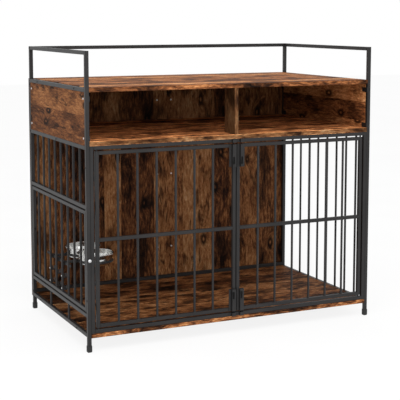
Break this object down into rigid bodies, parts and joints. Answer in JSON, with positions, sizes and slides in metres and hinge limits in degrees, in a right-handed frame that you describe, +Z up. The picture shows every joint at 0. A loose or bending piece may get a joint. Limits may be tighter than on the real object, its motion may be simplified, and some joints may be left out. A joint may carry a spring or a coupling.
{
  "type": "dog crate end table",
  "caption": "Steel-framed dog crate that doubles as an end table, with wooden top and shelf, two barred front doors with slide bolts and a turning feeder panel with lift-out bowls.",
  "frame": {"origin": "on the floor, under the middle of the whole, lock pin and joint plates included", "axes": "+X to the right along the front, +Y from the doors to the back panels, +Z up"},
  "size_m": [1.104, 0.654, 1],
  "materials": {
    "powder_coated_steel": "satin",
    "table_wood": "satin laminate",
    "board_wood": "satin laminate",
    "panel_wood": "satin laminate",
    "zinc_plated_steel": "bright",
    "stainless_steel": "polished",
    "plastic": "matte"
  },
  "bodies": {
    "crate": {"front_left_post": "powder_coated_steel", "front_right_post": "powder_coated_steel", "rear_left_post": "powder_coated_steel", "rear_right_post": "powder_coated_steel", "left_guard_rail": "powder_coated_steel", "left_table_rail": "powder_coated_steel", "left_shelf_rail": "powder_coated_steel", "feeder_head_rail": "powder_coated_steel", "feeder_sill_rail": "powder_coated_steel", "left_bottom_rail": "powder_coated_steel", "right_guard_rail": "powder_coated_steel", "right_table_rail": "powder_coated_steel", "right_shelf_rail": "powder_coated_steel", "right_bottom_rail": "powder_coated_steel", "rear_guard_rail": "powder_coated_steel", "rear_table_rail": "powder_coated_steel", "rear_shelf_rail": "powder_coated_steel", "rear_bottom_rail": "powder_coated_steel", "shelf_cross_rail": "powder_coated_steel", "front_frame_stiles": "powder_coated_steel", "front_frame_rails": "powder_coated_steel", "left_side_bars": "powder_coated_steel", "right_side_bars": "powder_coated_steel", "side_panel_tabs": "powder_coated_steel", "back_joint_plates": "powder_coated_steel", "pivot_pins": "powder_coated_steel", "latch_keepers": "powder_coated_steel", "feet": "plastic", "floor_board": "board_wood", "shelf_board": "board_wood", "table_board": "table_wood", "left_side_panel": "panel_wood", "right_side_panel": "panel_wood", "left_back_panel": "panel_wood", "right_back_panel": "panel_wood", "shelf_divider": "panel_wood"},
    "left_door": {"left_door_stiles": "powder_coated_steel", "left_door_rails": "powder_coated_steel", "left_door_bars": "powder_coated_steel", "left_latch_cases": "powder_coated_steel"},
    "left_top_bolt": {"left_door_top_bolt": "powder_coated_steel"},
    "left_bottom_bolt": {"left_door_bottom_bolt": "powder_coated_steel"},
    "right_door": {"right_door_stiles": "powder_coated_steel", "right_door_rails": "powder_coated_steel", "right_door_bars": "powder_coated_steel", "right_latch_cases": "powder_coated_steel"},
    "right_top_bolt": {"right_door_top_bolt": "powder_coated_steel"},
    "right_bottom_bolt": {"right_door_bottom_bolt": "powder_coated_steel"},
    "feeder_panel": {"feeder_stiles": "powder_coated_steel", "feeder_rails": "powder_coated_steel", "feeder_bars": "powder_coated_steel", "bowl_hooks": "powder_coated_steel", "bowl_holder": "powder_coated_steel"},
    "lock_pin": {"feeder_lock_pin": "zinc_plated_steel"},
    "front_bowl": {"front_bowl": "stainless_steel"},
    "rear_bowl": {"rear_bowl": "stainless_steel"}
  },
  "joints": [
    {"name": "left_door_hinge", "type": "hinge", "parent": "crate", "child": "left_door", "pos_m": [-0.512, -0.3085, 0.3765], "axis": [0, 0, -1], "range_deg": [0, 110]},
    {"name": "right_door_hinge", "type": "hinge", "parent": "crate", "child": "right_door", "pos_m": [0.512, -0.3085, 0.3765], "axis": [0, 0, 1], "range_deg": [0, 110]},
    {"name": "left_top_bolt_slide", "type": "slide", "parent": "left_door", "child": "left_top_bolt", "axis": [0, 0, 1], "range_m": [0, 0.016]},
    {"name": "left_bottom_bolt_slide", "type": "slide", "parent": "left_door", "child": "left_bottom_bolt", "axis": [0, 0, -1], "range_m": [0, 0.016]},
    {"name": "right_top_bolt_slide", "type": "slide", "parent": "right_door", "child": "right_top_bolt", "axis": [0, 0, 1], "range_m": [0, 0.016]},
    {"name": "right_bottom_bolt_slide", "type": "slide", "parent": "right_door", "child": "right_bottom_bolt", "axis": [0, 0, -1], "range_m": [0, 0.016]},
    {"name": "feeder_turn", "type": "hinge", "parent": "crate", "child": "feeder_panel", "pos_m": [-0.5435, 0.001, 0.305], "axis": [0, 0, 1], "continuous": true},
    {"name": "lock_pin_slide", "type": "slide", "parent": "crate", "child": "lock_pin", "axis": [0, 1, 0], "range_m": [0, 0.0058]},
    {"name": "front_bowl_lift", "type": "slide", "parent": "feeder_panel", "child": "front_bowl", "axis": [0, 0, 1], "range_m": [0, 0.08]},
    {"name": "rear_bowl_lift", "type": "slide", "parent": "feeder_panel", "child": "rear_bowl", "axis": [0, 0, 1], "range_m": [0, 0.08]}
  ]
}
